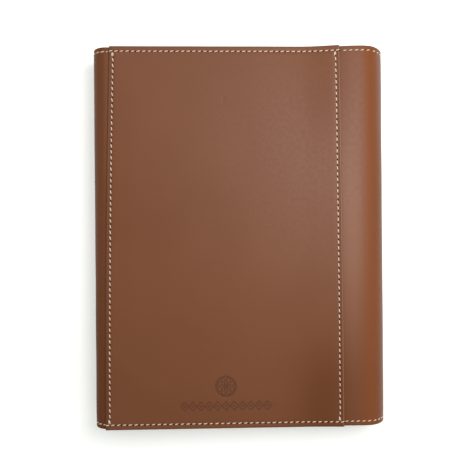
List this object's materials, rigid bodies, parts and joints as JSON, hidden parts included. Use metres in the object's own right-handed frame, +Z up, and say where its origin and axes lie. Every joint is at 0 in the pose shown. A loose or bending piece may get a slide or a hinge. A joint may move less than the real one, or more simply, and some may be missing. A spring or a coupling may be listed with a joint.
{
  "type": "leather notebook cover",
  "caption": "Plump leather notebook cover with raised sewn panels, a rounded spine, a fore-edge wrap with a tuck-in flap, inner sleeves, a pen loop and a removable notebook.",
  "frame": {"origin": "centre of the closed cover's underside, on the surface it lies on", "axes": "+X from the fore-edge to the spine, +Y from the tail to the head, +Z up through the front cover, the notebook and the back cover"},
  "size_m": [0.1786, 0.23, 0.0266],
  "materials": {
    "panel_leather": "smooth satin",
    "shell_leather": "smooth satin",
    "thread": "waxed thread",
    "lining": "fine twill",
    "board": "matt",
    "magnet": "nickel plated",
    "notebook_card": "matt black card",
    "paper": "ivory paper",
    "tape": "woven cotton"
  },
  "bodies": {
    "front_cover": {"front_panel": "panel_leather", "front_shell": "shell_leather", "front_board": "board", "front_magnets": "magnet", "front_lining": "lining", "front_pocket": "shell_leather", "front_thread": "thread", "notebook_front_cover": "notebook_card"},
    "spine": {"spine_shell": "shell_leather", "spine_lining": "lining", "notebook_spine": "notebook_card", "spine_fold_front": "shell_leather", "spine_fold_back": "shell_leather", "spine_lining_front": "lining", "spine_lining_back": "lining", "notebook_fold_front": "notebook_card", "notebook_fold_back": "notebook_card", "spine_thread": "thread"},
    "back_cover": {"back_panel": "panel_leather", "back_shell": "shell_leather", "back_board": "board", "back_lining": "lining", "back_pocket": "shell_leather", "back_thread": "thread", "pen_loop": "shell_leather", "notebook_back_cover": "notebook_card", "page_block": "paper", "block_tape": "tape"},
    "gusset": {"gusset_shell": "shell_leather", "gusset_lining": "lining", "gusset_fold_back": "shell_leather", "gusset_fold_flap": "shell_leather", "gusset_lining_back": "lining", "gusset_lining_flap": "lining", "gusset_thread": "thread"},
    "flap": {"flap_shell": "shell_leather", "flap_lining": "lining", "flap_magnets": "magnet", "flap_thread": "thread"}
  },
  "joints": [
    {"name": "cover_open", "type": "hinge", "parent": "front_cover", "child": "spine", "pos_m": [0.08675, 0, 0.00395], "axis": [0, 1, 0], "range_deg": [0, 90], "deforming": ["spine_fold_front", "spine_lining_front", "notebook_fold_front", "spine_thread"]},
    {"name": "back_fold", "type": "hinge", "parent": "spine", "child": "back_cover", "pos_m": [0.08675, 0, 0.02265], "axis": [0, 1, 0], "range_deg": [0, 90], "deforming": ["spine_fold_back", "spine_lining_back", "notebook_fold_back", "notebook_spine"]},
    {"name": "gusset_fold", "type": "hinge", "parent": "back_cover", "child": "gusset", "pos_m": [-0.08737, 0, 0.02327], "axis": [0, 1, 0], "range_deg": [0, 90], "deforming": ["gusset_fold_back", "gusset_lining_back", "gusset_thread"]},
    {"name": "flap_fold", "type": "hinge", "parent": "gusset", "child": "flap", "pos_m": [-0.08737, 0, 0.00913], "axis": [0, 1, 0], "range_deg": [0, 90], "deforming": ["gusset_fold_flap", "gusset_lining_flap"]}
  ],
  "couplings": [
    {"joint": "back_fold", "follows": "cover_open", "ratio": 1},
    {"joint": "gusset_fold", "follows": "cover_open", "ratio": 1},
    {"joint": "flap_fold", "follows": "cover_open", "ratio": 1}
  ]
}
